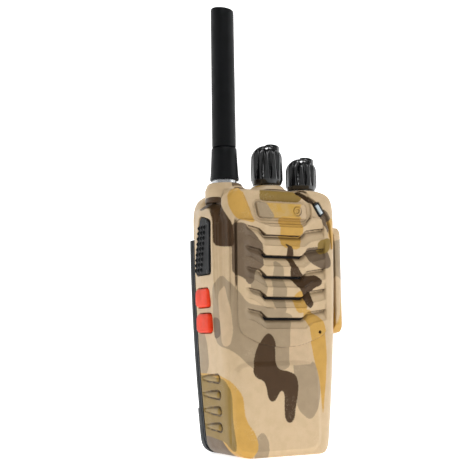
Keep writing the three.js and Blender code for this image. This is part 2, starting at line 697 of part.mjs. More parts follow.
const finish = (color, roughness, metalness = 0) => ({ color, roughness, metalness });
const CAMO = finish(0xcbb48f, 0.5);
const LABEL = finish(0xb8995c, 0.4);
const BLACK = finish(0x1d1f21, 0.45);
const SOFT_BLACK = finish(0x24282b, 0.7);
const ORANGE = finish(0xf0532f, 0.45);
const DARK_GREY = finish(0x2f3334, 0.55);
const CHASSIS = finish(0x35383a, 0.6, 0.8);
const STEEL = finish(0xb4b6b8, 0.3, 1);
const BRASS = finish(0xc9a24a, 0.3, 1);
const CLEAR = finish(0xdfe6e8, 0.1);
const BOARD_GREEN = finish(0x1f5a3a, 0.5);
const CLOTH = finish(0x0d0d0e, 0.95);
const CELL = finish(0x8a949c, 0.5);

// ---------- assembly ----------

const radio = new THREE.Group();

function place(name, solid, look) {
  const mesh = new THREE.Mesh(geometryOf(solid), new THREE.MeshStandardMaterial(look));
  mesh.name = name;
  radio.add(mesh);
}

place("front_case", frontCase(), CAMO);
place("label_plate", prismY(labelOutline(0), [-15.1, CASE.front + 0.6]), LABEL);
place("status_lens", statusLens(), CLEAR);
place("jack_block", jackBlock(), BLACK);
place("chassis_frame", chassisFrame(), CHASSIS);
place("main_circuit_board", circuitBoard(), BOARD_GREEN);
place("radio_shield_can", shieldCan(), STEEL);
place("speaker_frame", speakerFrame(), STEEL);
place("speaker_cone", speakerCone(), SOFT_BLACK);
place("speaker_magnet", speakerMagnet(), STEEL);
place("speaker_cloth", speakerCloth(), CLOTH);
place("microphone", microphone(), STEEL);
place("talk_switch", sideSwitch(TALK_SWITCH), BLACK);
place("upper_key_switch", sideSwitch(KEYS.upper), BLACK);
place("lower_key_switch", sideSwitch(KEYS.lower), BLACK);
place("channel_switch", rotarySwitch(CHANNEL, 5.6), STEEL);
place("volume_switch", rotarySwitch(VOLUME, 4.4), STEEL);
place("antenna_socket", antennaSocket(), BRASS);
place("torch_lens", lampLens(), CLEAR);
place("torch_lamp", lampBody(), CLEAR);
place("battery_contact_block", contactBlock(), BRASS);
place("chassis_screw_left", screwAlongY(-1, CASE_SCREW, 8), STEEL);
place("chassis_screw_right", screwAlongY(1, CASE_SCREW, 8), STEEL);
place("clip_screw_left", screwAlongY(-1, CLIP_SCREW, 4.4), STEEL);
place("clip_screw_right", screwAlongY(1, CLIP_SCREW, 4.4), STEEL);
place("cover_hinge_pin", coverPin(), STEEL);
place("talk_button", talkButton(), SOFT_BLACK);
place("upper_side_key", sideKey(KEYS.upper), ORANGE);
place("lower_side_key", sideKey(KEYS.lower), ORANGE);
place("channel_shaft", shaft(CHANNEL), STEEL);
place("channel_knob", knob(CHANNEL), BLACK);
place("volume_shaft", shaft(VOLUME), STEEL);
place("volume_knob", knob(VOLUME), BLACK);
place("antenna_center_pin", antennaPin(), BRASS);
place("antenna_connector", antennaConnector(), STEEL);
place("antenna_sleeve", antennaSleeve(), SOFT_BLACK);
place("antenna_whip", antennaWhip(), SOFT_BLACK);
place("accessory_cover", accessoryCover(), CAMO);
place("battery_tray", batteryTray(), DARK_GREY);
place("battery_cover", batteryCover(), DARK_GREY);
place("battery_cell", batteryCell(), CELL);
place("battery_circuit", batteryCircuit(), BOARD_GREEN);
place("battery_contacts", batteryContacts(), BRASS);
place("battery_lock", batteryLock(), BLACK);

export default radio;
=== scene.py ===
import json
import math

import bpy
import numpy as np
from mathutils import Matrix


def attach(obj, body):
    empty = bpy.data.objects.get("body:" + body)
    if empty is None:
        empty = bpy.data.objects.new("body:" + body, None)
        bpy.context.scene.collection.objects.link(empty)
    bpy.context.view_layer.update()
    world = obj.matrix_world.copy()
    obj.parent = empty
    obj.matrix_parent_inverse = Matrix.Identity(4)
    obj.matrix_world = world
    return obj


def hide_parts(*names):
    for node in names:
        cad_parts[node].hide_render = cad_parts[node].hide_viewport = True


# Lengths are in millimetres until a mesh is made; only the lights' places and sizes are in metres.
# The front faces -Y, +X is the right side as seen from the front, and +Z is up.
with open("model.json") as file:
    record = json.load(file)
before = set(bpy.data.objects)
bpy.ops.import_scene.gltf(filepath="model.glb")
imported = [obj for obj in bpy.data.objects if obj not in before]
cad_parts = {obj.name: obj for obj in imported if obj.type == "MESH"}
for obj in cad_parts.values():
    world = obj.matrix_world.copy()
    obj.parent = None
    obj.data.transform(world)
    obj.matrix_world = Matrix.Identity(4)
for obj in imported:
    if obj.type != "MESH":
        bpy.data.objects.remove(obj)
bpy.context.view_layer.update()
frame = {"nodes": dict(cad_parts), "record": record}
nodes = frame["nodes"]

FRONT, BACK, TOP, WALL = -14.6, 17.0, 110.0, 1.8
BAY_FRONT, BAY_TOP = 12.9, 90.2
BLEND = 1.6
CORNER = 8.0
GAP = 0.3
BASE_LIFT = 0.03
HINGE_X, HINGE_Y, HINGE_MIDDLE = 29.4, 6.8, 72.5
ANTENNA_X, CHANNEL_X, VOLUME_X = -19.5, 1.0, 18.2
GROOVE_PITCH = 8.5
GROOVE_TOPS = [94.4 - GROOVE_PITCH * i for i in range(5)]
RIB_HEIGHTS = [31.8, 25.2, 18.6, 12.0]
TALK_OUTLINE = [(-4, 96.2), (-3.4, 74.4), (10.6, 74.4), (10.8, 82), (6, 98.4), (3.2, 98.4)]
KEYS = {"upper": (5.6, 64.9), "lower": (4.9, 54.4)}
KEY_HALF = (6.0, 3.9)
POINTER = (0.5, -0.866)
CAMO_REACH = 4.0
SETTLE_ROUNDS = 4


# ---------- distance fields ----------

def smooth_max(a, b, k):
    """The larger of two fields, with the edge where they meet rounded over a width of about k."""
    h = np.maximum(k - np.abs(a - b), 0) / k
    return np.maximum(a, b) + h * h * k / 4


def smooth_min(a, b, k):
    return -smooth_max(-a, -b, k)


def step(low, high, value):
    """Rises smoothly from 0 at low to 1 at high."""
    t = np.clip((value - low) / (high - low), 0, 1)
    return t * t * (3 - 2 * t)


def rounded_box(a, b, low_a, high_a, low_b, high_b, radius):
    qa = np.abs(a - (low_a + high_a) / 2) - (high_a - low_a) / 2 + radius
    qb = np.abs(b - (low_b + high_b) / 2) - (high_b - low_b) / 2 + radius
    outside = np.hypot(np.maximum(qa, 0), np.maximum(qb, 0))
    return np.minimum(np.maximum(qa, qb), 0) + outside - radius


def polygon_distance(u, v, points):
    best = np.full(np.broadcast(u, v).shape, 1e9)
    inside = np.zeros(best.shape, bool)
    for (au, av), (bu, bv) in zip(points, np.roll(points, -1, axis=0)):
        eu, ev = bu - au, bv - av
        pu, pv = u - au, v - av
        t = np.clip((pu * eu + pv * ev) / (eu * eu + ev * ev + 1e-12), 0, 1)
        best = np.minimum(best, (pu - t * eu) ** 2 + (pv - t * ev) ** 2)
        rise = ev if abs(ev) > 1e-9 else 1e-9
        inside ^= ((av > v) != (bv > v)) & (pu < eu * pv / rise)
    return np.where(inside, -1, 1) * np.sqrt(best)


def line_distance(u, v, points):
    best = np.full(np.broadcast(u, v).shape, 1e9)
    for (au, av), (bu, bv) in zip(points, points[1:]):
        eu, ev = bu - au, bv - av
        t = np.clip(((u - au) * eu + (v - av) * ev) / (eu * eu + ev * ev), 0, 1)
        best = np.minimum(best, (u - au - t * eu) ** 2 + (v - av - t * ev) ** 2)
    return np.sqrt(best)


def rounded(points, radius):
    """A closed outline whose corners are rounded by curves that start this far from each corner."""
    p = np.array(points, float)
    before, after = np.roll(p, 1, axis=0) - p, np.roll(p, -1, axis=0) - p
    start = p + before * np.minimum(radius / np.linalg.norm(before, axis=1), 0.48)[:, None]
    end = p + after * np.minimum(radius / np.linalg.norm(after, axis=1), 0.48)[:, None]
    rows = [(1 - t) ** 2 * start + 2 * t * (1 - t) * p + t * t * end for t in (0, 0.3, 0.7, 1)]
    return np.stack(rows, 1).reshape(-1, 2)


# ---------- from a field to a mesh ----------

def slope(field, p, reach):
    """A field's value and gradient at points, from four samples around each."""
    value = np.zeros(len(p))
    gradient = np.zeros((len(p), 3))
    for corner in ((1, -1, -1), (-1, -1, 1), (-1, 1, -1), (1, 1, 1)):
        k = np.array(corner, float)
        f = field(*(p + k * reach).T)
        value += f / 4
        gradient += f[:, None] * k / (4 * reach)
    return value, gradient


def net(field, xs, ys, zs):
    """Vertices and four-sided faces on the zero level of a field, over a grid of uneven steps."""
    axes = [np.asarray(a, float) for a in (xs, ys, zs)]
    values = np.stack([
        field(x, *np.meshgrid(axes[1], axes[2], indexing="ij")) for x in axes[0]])
    inside = values < 0
    count = np.zeros([len(a) - 1 for a in axes], np.int8)
    offsets = [(i, j, k) for i in (0, 1) for j in (0, 1) for k in (0, 1)]
    for i, j, k in offsets:
        count += inside[i:i + count.shape[0], j:j + count.shape[1], k:k + count.shape[2]]
    active = (count > 0) & (count < 8)
    cells = np.argwhere(active)
    ids = np.full(active.shape, -1, np.int64)
    ids[active] = np.arange(len(cells))
    total = np.zeros((len(cells), 3))
    hits = np.zeros(len(cells))
    for axis in range(3):
        for offset in (o for o in offsets if o[axis] == 0):
            a = cells + np.array(offset)
            b = a.copy()
            b[:, axis] += 1
            fa, fb = values[tuple(a.T)], values[tuple(b.T)]
            cross = (fa < 0) != (fb < 0)
            t = np.where(cross, fa / np.where(cross, fa - fb, 1), 0)[:, None]
            pa = np.stack([axes[d][a[:, d]] for d in range(3)], 1)
            pb = np.stack([axes[d][b[:, d]] for d in range(3)], 1)
            total += np.where(cross[:, None], pa + t * (pb - pa), 0)
            hits += cross
    vertices = total / hits[:, None]
    quads = []
    for axis in range(3):
        one, two = (axis + 1) % 3, (axis + 2) % 3
        lower = [slice(1, -1)] * 3
        upper = [slice(1, -1)] * 3
        lower[axis], upper[axis] = slice(0, -1), slice(1, None)
        first, second = inside[tuple(lower)], inside[tuple(upper)]
        for flip, where in ((False, first & ~second), (True, ~first & second)):
            at = np.argwhere(where)
            at[:, one] += 1
            at[:, two] += 1
            ring = []
            for d_one, d_two in ((-1, -1), (0, -1), (0, 0), (-1, 0)):
                cell = at.copy()
                cell[:, one] += d_one
                cell[:, two] += d_two
                ring.append(ids[tuple(cell.T)])
            quad = np.stack(ring, 1)
            quads.append(quad[:, ::-1] if flip else quad)
    quads = np.concatenate(quads)
    quads = quads[(quads >= 0).all(1)]
    return vertices, quads


def settle(field, vertices, limit):
    """Moves vertices onto the zero level and gives the normals there."""
    for _ in range(SETTLE_ROUNDS):
        value, gradient = slope(field, vertices, 0.03)
        size = np.maximum((gradient ** 2).sum(1), 0.05)
        move = (value / size)[:, None] * gradient
        length = np.maximum(np.linalg.norm(move, axis=1), 1e-9)
        vertices = vertices - move * np.minimum(1, limit / length)[:, None]
    _, gradient = slope(field, vertices, 0.1)
    return vertices, gradient / np.maximum(np.linalg.norm(gradient, axis=1), 1e-9)[:, None]


def mesh_piece(name, vertices, faces, normals=None):
    mesh = bpy.data.meshes.new(name)
    sides = faces.shape[1]
    mesh.vertices.add(len(vertices))
    mesh.vertices.foreach_set("co", (vertices * 0.001).astype(np.float32).ravel())
    mesh.loops.add(faces.size)
    mesh.loops.foreach_set("vertex_index", faces.astype(np.int32).ravel())
    mesh.polygons.add(len(faces))
    mesh.polygons.foreach_set("loop_start", np.arange(0, faces.size, sides, dtype=np.int32))
    mesh.polygons.foreach_set("use_smooth", np.ones(len(faces), bool))
    mesh.update(calc_edges=True)
    if normals is not None:
        mesh.normals_split_custom_set_from_vertices(normals.tolist())
    piece = bpy.data.objects.new(name, mesh)
    bpy.context.scene.collection.objects.link(piece)
    return piece


def solid(name, field, xs, ys, zs):
    vertices, faces = net(field, xs, ys, zs)
    cell = min(np.diff(a).min() for a in (xs, ys, zs))
    vertices, normals = settle(field, vertices, cell * 0.5)
    return mesh_piece(name, vertices, faces, normals)


def span(low, high, cell):
    return np.linspace(low, high, int(math.ceil((high - low) / cell)) + 1)


def lathe(name, profile, x, y, segments=72, lean=(0.0, 0.0), lean_from=0.0):
    """A turned piece from pairs of radius and height; lean slants what lies above lean_from."""
    rings = []
    for radius, height in profile:
        angle = np.arange(segments) * 2 * math.pi / segments
        across, back = radius * np.cos(angle), radius * np.sin(angle)
        lift = (lean[0] * across + lean[1] * back) * (height > lean_from)
        rings.append(np.stack([x + across, y + back, height + lift], 1))
    vertices = np.concatenate(rings)
    faces = []
    for ring in range(len(profile) - 1):
        here = ring * segments + np.arange(segments)
        along = ring * segments + (np.arange(segments) + 1) % segments
        faces.append(np.stack([here, along, along + segments, here + segments], 1))
    piece = mesh_piece(name, vertices, np.concatenate(faces))
    piece.data.set_sharp_from_angle(angle=math.radians(32))
    return piece


# ---------- the outer form ----------

def half_width(z):
    rise = 1 - np.clip(z / 95, 0, 1)
    return 27.7 - 5.2 * rise * rise


def form(x, y, z, inset=0.0, back=BACK, rear=5.6):
    """The plain body without its relief; rear is the radius of its two upright edges at the back."""
    half = half_width(z) - inset
    corner = np.where(y < 0, CORNER, rear) - inset
    plan = rounded_box(x, y, -half, half, FRONT + inset, back - inset, corner)
    ends = np.where(z < 50, 7.0, 13.0) - inset
    side = rounded_box(x, z, -half, half, inset, TOP - inset, ends)
    edges = np.maximum(np.where(z < 50, 1.2, 4.5) - inset, 0.4)
    face = rounded_box(y, z, FRONT + inset, back - inset, inset, TOP - inset, edges)
    body = smooth_max(smooth_max(plan, side, BLEND), face, BLEND) - BLEND / 4
    return np.maximum(body, inset + BASE_LIFT - z)


def unrolled(x, y, z):
    """How far round the case a point is from the middle of the front, left negative."""
    flat = half_width(z) - CORNER
    along = np.abs(x) - flat
    before = FRONT + CORNER - y
    angle = np.arctan2(np.maximum(along, 0), np.maximum(before, 1e-6))
    corner = flat + CORNER * angle
    side = flat + CORNER * math.pi / 2 - before
    u = np.where(along <= 0, np.abs(x), np.where(before > 0, corner, side))
    return np.sign(x) * u


GRILLE_PANEL = rounded([
    (-21.9, 96), (-21.9, 54), (-20.7, 49.7), (-13.2, 45.9), (-2.9, 44), (5.9, 44.7), (11.9, 46.3),
    (18.3, 49), (21.6, 53), (22.4, 60), (22.6, 91), (20.4, 97), (14, 98.6), (10, 93.6), (-8, 93.6),
    (-12.5, 96)], 2.5)
LOWER_PANEL = rounded([(-22.6, 2.6), (-22.6, 37), (10, 37.2), (15, 34), (15, 2.6)], 5)
TALK_PAD = rounded([(-32.6, 60), (-32.8, 98), (-37.5, 102.4), (-58, 102.4), (-58, 60)], 4)
LABEL_RECESS = rounded([
    (-20.5, 110), (-16, 100.1), (-12.6, 94.8), (10.4, 94.8), (14.4, 98), (12.4, 110)], 2.5)
LABEL_PLATE = rounded([(-13, 103.4), (-11.3, 97.2), (11.4, 97.2), (10.6, 103.4)], 1.3)
VALLEY = [(-27.4, 50), (-28.4, 70), (-28.6, 95), (-31.5, 102), (-38, 105.4), (-46, 105.6)]
SWOOSH = [(8, 108.4), (15.1, 104.4), (18.2, 101), (21.3, 98.3), (22.5, 95.1), (23.9, 86)]
TALK_CAP = rounded(TALK_OUTLINE, 1.5)
GROOVE_X = [-19.3, -11.5, -8.5, 8.2, 11.1, 19.8]
GROOVE_DROP = [0, 1.5, 4.1, 4.2, 1.8, 0.6]
LIP_X = [-19.3, -15, -9.2, 9.5, 13, 19.8]
LIP_DROP = [4.9, 5.6, 8.9, 9.0, 6.7, 5.2]


def groove_edges(x, top):
    return top - np.interp(x, GROOVE_X, GROOVE_DROP), top - np.interp(x, LIP_X, LIP_DROP)


def groove_depth(x, z):
    """Each louvre drops steeply under its upper edge and climbs back in two facets to a small lip."""
    ends = step(-19.4, -15.5, x) * (1 - step(19.2, 19.8, x))
    wings = np.interp(x, [-12, -9, 9, 12], [2.0, 2.7, 2.7, 2.3])
    depth = np.zeros(np.broadcast(x, z).shape)
    for top in GROOVE_TOPS:
        high, low = groove_edges(x, top)
        t = (high - z) / (high - low)
        cut = np.interp(t, [0, 0.06, 0.2, 0.5, 0.9, 1.0], [0, 1.0, 1.0, 0.5, 0.26, 0])
        lip_above = low + GROOVE_PITCH
        tuck = 0.8 * np.clip((lip_above - z) / (lip_above - high), 0, 1) * (z > high - 0.4)
        depth = np.maximum(depth, np.maximum(cut * wings, tuck))
    return depth * ends


def crease(distance, depth, width):
    return depth * np.exp(-(distance / width) ** 2)


def relief(u, z):
    """How far the case stands out from its plain form."""
    panel = 0.88 * (1 - step(-0.2, 0.2, polygon_distance(u, z, GRILLE_PANEL)))
    lower = 0.88 * (1 - np.clip((polygon_distance(u, z, LOWER_PANEL) + 0.4) / 1.8, 0, 1))
    before_back = step(-52, -44, u)
    below_top = 1 - step(94, 98, z)
    pad = 0.9 * (1 - step(-0.5, 0.3, polygon_distance(u, z, TALK_PAD))) * step(60, 74, z) * before_back
    out = np.maximum(np.maximum(panel, lower), pad)
    valley = 1.7 * (1 - step(0.6, 3.6, line_distance(u, z, VALLEY)))
    out = out - (valley + crease(u + 31.4, 0.4, 0.4)) * before_back * step(50, 76, z)
    out = out - step(46, 70, z) * below_top * crease(u + 24.6, 0.5, 0.4)
    out = out - step(64, 76, z) * below_top * crease(u + 22.3, 0.9, 0.4)
    out = out - crease(u + 25.2, 0.35, 0.7) * step(3, 8, z) * (1 - step(34, 40, z))
    out = out - 0.9 * (1 - step(-0.3, 0.3, polygon_distance(u, z, LABEL_RECESS)))
    out = out - crease(polygon_distance(u, z, LABEL_PLATE) - 0.9, 0.3, 0.35)
    out = out - 1.2 * (1 - step(0.6, 1.3, line_distance(u, z, SWOOSH)))
    return out - np.where(np.abs(u) < 20.2, groove_depth(u, z), 0)


def rod_z(x, y, cx, cy, radius):
    return np.hypot(x - cx, y - cy) - radius


def rib_field(x, y, z, from_side=False):
    """The grip ribs; from_side gives only their outline as seen from the side."""
    best = np.full(np.broadcast(x, y, z).shape, 9.0)
    for height in RIB_HEIGHTS:
        half = half_width(height)
        tip = 21.1 - half
        radius = np.interp(y, [tip, 6, 12.6], [1.7, 1.15, 0.3])
        across = 0 if from_side else np.abs(x) - (half - 0.75)
        ahead = np.minimum(y - tip - 1.7, 0)
        best = np.minimum(best, np.sqrt(across ** 2 + (z - height) ** 2 + ahead ** 2) - radius)
    return best


def collar_field(x, y, z):
    """The rings round the aerial and the knobs, which narrow above the top of the case."""
    best = np.full(np.broadcast(x, y, z).shape, 99.0)
    collars = [
        (ANTENNA_X, 112.3, [8.2, 8.2, 7.0]),
        (CHANNEL_X, 112.4, [8.6, 8.6, 6.4]),
        (VOLUME_X, 110.9, [7.3, 7.3, 6.4])]
    for cx, top, radii in collars:
        radius = np.interp(z, [104, 109.4, top], radii)
        side = rod_z(x, y, cx, 0, radius)
        best = np.minimum(best, smooth_max(smooth_max(side, z - top, 0.9), 104 - z, 0.5))
    return best


def lens_turn(x, z):
    """Places measured across and along the tilted status lens, from its middle."""
    turn = math.radians(33)
    dx, dz = x - 17.6, z - 101.6
    return dx * math.cos(turn) + dz * math.sin(turn), dz * math.cos(turn) - dx * math.sin(turn)


def case_openings(x, y, z):
    """Everything that is cut through the case wall."""
    # Slits under the louvres, then the talk button and the two keys.
    parts = []
    for top, thick in zip(GROOVE_TOPS[1:], (0.3, 0.34, 0.36, 0.36)):
        high, _ = groove_edges(x, top)
        slit = np.maximum(np.abs(z - high + 0.7) - thick, np.abs(x) - 9.4)
        parts.append(np.maximum(slit, y + 9))
    left = x + 22.0
    parts.append(np.maximum(polygon_distance(y, z, TALK_CAP) - GAP, left))
    for ky, kz in KEYS.values():
        hole = rounded_box(
            y, z, ky - KEY_HALF[0] - GAP, ky + KEY_HALF[0] + GAP,
            kz - KEY_HALF[1] - GAP, kz + KEY_HALF[1] + GAP, 2.0)
        parts.append(np.maximum(hole, left))
    # The jacks, the microphone, the status lens and the label plate.
    parts.append(np.maximum(rounded_box(y, z, -5.3, 3.3, 67.7, 88.3, 0.4), 22 - x))
    parts.append(np.maximum(np.hypot(x - 16.3, z - 50.1) - 0.6, y + 11))
    lu, lv = lens_turn(x, z)
    parts.append(np.maximum(rounded_box(lu, lv, -1.7, 1.7, -3.1, 3.1, 0.8), y + 10))
    parts.append(np.maximum(polygon_distance(x, z, LABEL_PLATE) - GAP, y + 13.7))
    # The aerial socket, the two shafts and the torch lamp come out of the top.
    above = 100 - z
    for cx, cy, radius in ((ANTENNA_X, 0, 5.7), (CHANNEL_X, 0, 3.6), (VOLUME_X, 0, 3.6), (-8.2, 6.4, 2.4)):
        parts.append(np.maximum(rod_z(x, y, cx, cy, radius), above))
    # The battery bay, the opening above it and the lock's slot in the floor.
    parts.append(np.maximum(BAY_FRONT - y, z - BAY_TOP))
    window = rounded_box(x, z, -19, 19, 88, 104, 0.5)
    parts.append(np.maximum(window, BAY_FRONT - y))
    slot = rounded_box(x, y, 3.2, 10.2, 8.4, 11.8, 0.6)
    parts.append(np.maximum(slot, z - 2.8))
    best = parts[0]
    for part in parts[1:]:
        best = np.minimum(best, part)
    return best


def case_field(x, y, z):
    """The hollow case with its relief, ribs, collars, screw pillars and hinge ears."""
    x, y, z = np.broadcast_arrays(x, y, z)
    facing = 1 - step(-9.0, -5.0, y) * (x > -20)
    skin = form(x, y, z) - relief(unrolled(x, y, z), z) * facing
    ribs = rib_field(x, y, z)
    skin = skin + crease(rib_field(x, y, z, from_side=True), 0.5, 0.4) * (y < 12) * (np.abs(x) > 20)
    skin = smooth_min(skin, ribs, 0.3)
    skin = smooth_min(skin, collar_field(x, y, z), 1.6)
    shell = smooth_max(skin, -np.maximum(form(x, y, z, WALL), skin + 0.9), 0.3)
    pillar = np.hypot(np.abs(x) - 16.6, z - 6.4)
    boss = np.maximum(np.maximum(pillar - 2.6, 1.15 - pillar + 9 * (y < 0.2)), np.maximum(-13 - y, y - 8.8))
    ear_z = np.abs(z - HINGE_MIDDLE) - 22.1
    ears = np.maximum(rounded_box(x, y, 26, 30.6, 5.6, 8.0, 0.6), np.abs(ear_z) - 1)
    shell = np.minimum(np.minimum(shell, boss), ears)
    return smooth_max(shell, -case_openings(x, y, z), 0.25)


case_x = span(-30, 31.6, 0.45)
case_y = np.concatenate([span(-16, -6, 0.4), span(-6, 11, 0.5)[1:], span(11, 18, 0.8)[1:]])
case_z = np.concatenate([span(-0.6, 40, 0.5), span(40, 117, 0.4)[1:]])
case = solid("case_shell", case_field, case_x, case_y, case_z)
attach(case, "radio_body")
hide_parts("front_case")


# ---------- the camouflage, drawn round the case ----------

CAMO = {
    "taupe": [
        [(-34, 47), (-31, 45), (-26, 44), (-22, 41.5), (-16, 35.5), (-4, 34), (1.5, 36), (1.8, 50), (4, 57),
         (-6, 60), (-18, 62), (-24, 70), (-30, 74), (-35, 68), (-36, 58)],
        [(2.6, 41), (9, 38.6), (13.6, 38.2), (16.2, 34), (16.5, 28), (15.6, 22), (13.6, 17), (10.6, 14),
         (7, 16.5), (4.3, 19.6)],
        [(-16, 0), (-15.3, 8), (-12, 11), (-9.2, 7), (-9, -2)],
        [(-56, 58), (-47, 56), (-42, 46), (-41, 37), (-44, 33), (-56, 33)],
        [(-4, 57), (0, 57), (1, 66), (-1, 78), (-5, 80), (-6, 66)],
        [(-16, 66), (-9, 64), (-8, 70), (-12, 76), (-16, 74)],
        [(-13.4, 104), (-8.6, 104), (-3.6, 96.8), (-11.6, 96.8)],
        [(-30, 20), (-26, 14), (-22, 3), (-30, 1), (-38, 4), (-36, 12)],
        [(27, 88), (34, 92), (42, 86), (44, 70), (36, 66), (31, 72), (26, 76)],
        [(24, 30), (33, 34), (45, 28), (43, 14), (33, 12), (25, 18)],
        [(8, 118), (22, 120), (26, 132), (12, 134)]],
    "grey": [
        [(-24, 94.5), (-18, 94.5), (-13.5, 90.5), (-10, 85.5), (-9.5, 79), (-10.5, 76.5), (-13.5, 75),
         (-15, 70), (-17.5, 69.5), (-19, 72), (-24, 74)],
        [(-50, 8), (-34, 8), (-27, 3.6), (-24, -3), (-52, -3)],
        [(-36, 57), (-30, 56), (-29.5, 49), (-35, 47.5)],
        [(10, 85), (20, 86), (23, 78), (19.5, 76), (12, 79)],
        [(26, 40), (32, 42), (34, 30), (28, 24), (24, 30)],
        [(18, 102), (21.6, 101.4), (24.6, 96.6), (25.8, 86), (23.2, 85), (21, 92.6), (18, 97)],
        [(-22, 112), (-10, 116), (-12, 128), (-26, 126)]],
    "ochre": [
        [(10.7, 60), (18, 55.3), (19.3, 50), (20, 40), (19.3, 30.7), (17.3, 15.3), (16.3, 26.7),
         (14.7, 34.7), (13.3, 40), (12, 46.7), (11, 53.3), (8, 58)],
        [(5, 58), (10, 58), (11, 64), (8, 68), (4, 65)],
        [(-56, 34), (-34, 33.5), (-27, 32), (-23, 29.5), (-20, 25), (-19.7, 20), (-18.7, 14.7),
         (-15.3, 10), (-13.7, 4.7), (-16, 0), (-25, -2), (-29, 4), (-34, 8), (-56, 8)],
        [(-1.3, 85), (7, 84), (9.5, 90), (9, 98), (-2, 98)],
        [(-22, 96), (-13.3, 94.6), (-14.5, 99), (-19, 109), (-26, 110), (-25, 101)],
        [(21, 90), (22.5, 97), (25, 99), (28, 92), (25, 84)],
        [(30, 66), (38, 64), (44, 56), (39, 44), (32, 42), (28, 50)],
        [(48, 98), (56, 98), (56, 76), (49, 78)],
        [(-6, 118), (6, 116), (8, 126), (-4, 132)]],
    "olive": [
        [(-56, 33), (-40, 33), (-27.5, 31.4), (-24.4, 26), (-24, 15), (-22, 4.6), (-24, 2), (-30, 6.4),
         (-56, 9)],
        # Painted shade: this olive patch above the label plate stands for the shadow in the scoop under the
        # channel knob's collar.
        [(-11, 104.2), (9, 104.2), (10.4, 108.6), (-10, 109.4)],
        [(16, 88), (22.5, 90), (22, 84), (17, 82)],
        [(26, 110), (38, 108), (40, 98), (30, 96)],
        [(40, 8), (56, 12), (56, -4), (38, -4)]],
    "dark": [
        [(-8.3, 50.5), (-5.7, 47.7), (-5, 44), (-5, 35.3), (0, 34.5), (4, 33), (5.3, 29.3), (4.7, 24),
         (3.5, 19.3), (3, 14.7), (0.7, 13.2), (-1.5, 14.7), (-1.7, 20), (-1.5, 25.3), (-2.7, 27),
         (-4.3, 25.3), (-5.7, 22.8), (-7.5, 22.1), (-9.3, 23.7), (-10, 28.7), (-11.3, 31),
         (-14.3, 31.7), (-16.1, 34.3), (-15.5, 37), (-14.3, 42.3), (-11.7, 47.7)],
        [(0.5, 87), (4, 85.5), (4.8, 80), (6.8, 76), (8.8, 73.5), (13, 73.5), (15, 74), (18, 72),
         (17.8, 69.5), (14, 68.5), (12.5, 66), (13.7, 62), (12.5, 59.8), (10.5, 60.5), (9, 65),
         (7.5, 67.5), (4, 71), (2.5, 74.5), (3, 78), (1, 81), (1.5, 85)],
        # Painted shade: this dark patch follows the valley round the talk pad and over its arch, where the
        # valley falls into shade.
        [(-47, 103), (-41, 106.5), (-34, 107), (-29.5, 104), (-26, 98), (-23.4, 94), (-22.8, 84.6),
         (-33, 85.6), (-33.2, 97), (-37, 102), (-44, 101)],
        # Painted shade: this dark patch lies in the swoosh channel running from the label's corner towards
        # the status lens.
        [(8, 108.6), (12, 107.4), (16.4, 104.6), (15, 103.4), (10.6, 105.8)],
        [(40, 62), (47, 60), (50, 50), (47, 38), (42, 40), (43, 50)],
        [(30, 24), (36, 26), (40, 18), (37, 8), (32, 10)],
        [(-4, 122), (6, 126), (14, 122), (10, 130), (-4, 130)]],
    "pale": [
        [(7.6, 97), (8.6, 103.8), (11.4, 103.8), (12, 97)],
        [(1.7, 36.5), (1.7, 52.5), (7, 54), (11, 50), (13, 42), (13, 37)],
        [(-29, 45), (-25, 44.5), (-23.6, 51), (-24.6, 60), (-28, 70), (-31.5, 66), (-30, 54)]],
}


def pattern_place(p):
    """The point's place in the pattern; over the top the pattern carries on to the back."""
    x, y, z = p.T
    u = unrolled(x, y, z)
    over = step(105.5, 109.0, z)
    flat = half_width(z) - CORNER
    u = np.where(np.abs(x) > flat, u * (1 - over) + np.sign(x) * np.minimum(np.abs(u), 26) * over, u)
    return u, z + over * np.maximum(y + 10.1, 0)


def layer_distance(u, v, outlines):
    """Distance from the edge of a colour's patches, negative inside, cut off at CAMO_REACH."""
    best = np.full(len(u), CAMO_REACH)
    for outline in outlines:
        points = rounded(outline, 2.2)
        low, high = points.min(0) - CAMO_REACH, points.max(0) + CAMO_REACH
        near = (u > low[0]) & (u < high[0]) & (v > low[1]) & (v < high[1])
        best[near] = np.minimum(best[near], polygon_distance(u[near], v[near], points))
    return np.clip(best, -CAMO_REACH, CAMO_REACH)


def hollowness(piece, field, places):
    """How much of the space just outside each point is taken up by the piece itself, from 0 to 1; camo_look
    paints shade in creases from it.
    """
    normals = np.zeros(len(piece.data.vertices) * 3, np.float32)
    piece.data.vertices.foreach_get("normal", normals)
    normals = normals.reshape(-1, 3)
    total = np.zeros(len(places))
    reaches = (0.5, 1.2, 2.6, 5.0)
    for reach in reaches:
        outside = (places + normals * reach).T
        total += np.clip(1 - field(*outside) / reach, 0, 1)
    return total / len(reaches)


def paint(piece, field):
    """Stores what camo_look reads: how hollow each point's surroundings are, which sets the painted shade,
    and the patches.
    """
    co = np.zeros(len(piece.data.vertices) * 3, np.float32)
    piece.data.vertices.foreach_get("co", co)
    places = co.reshape(-1, 3).astype(float) * 1000
    hollow = piece.data.attributes.new("hollow", "FLOAT", "POINT")
    hollow.data.foreach_set("value", hollowness(piece, field, places).astype(np.float32))
    u, v = pattern_place(places)
    names = list(CAMO)
    for index in range(0, len(names), 3):
        three = np.stack([layer_distance(u, v, CAMO[n]) for n in names[index:index + 3]], 1)
        store = piece.data.attributes.new(f"camo_{index // 3}", "FLOAT_VECTOR", "POINT")
        store.data.foreach_set("vector", three.astype(np.float32).ravel())


paint(case, case_field)


# ---------- pieces on the front and the sides ----------

def label_field(x, y, z):
    outline = polygon_distance(x, z, LABEL_PLATE)
    dimple = np.hypot(x - 6.7, z - 100.3)
    face = -15.1 + 0.5 * (1 - step(0.8, 1.2, dimple)) + 0.3 * (1 - step(0.15, 0.35, np.abs(dimple - 1.9)))
    return smooth_max(smooth_max(outline, face - y, 0.5), y + 14.0, 0.1)


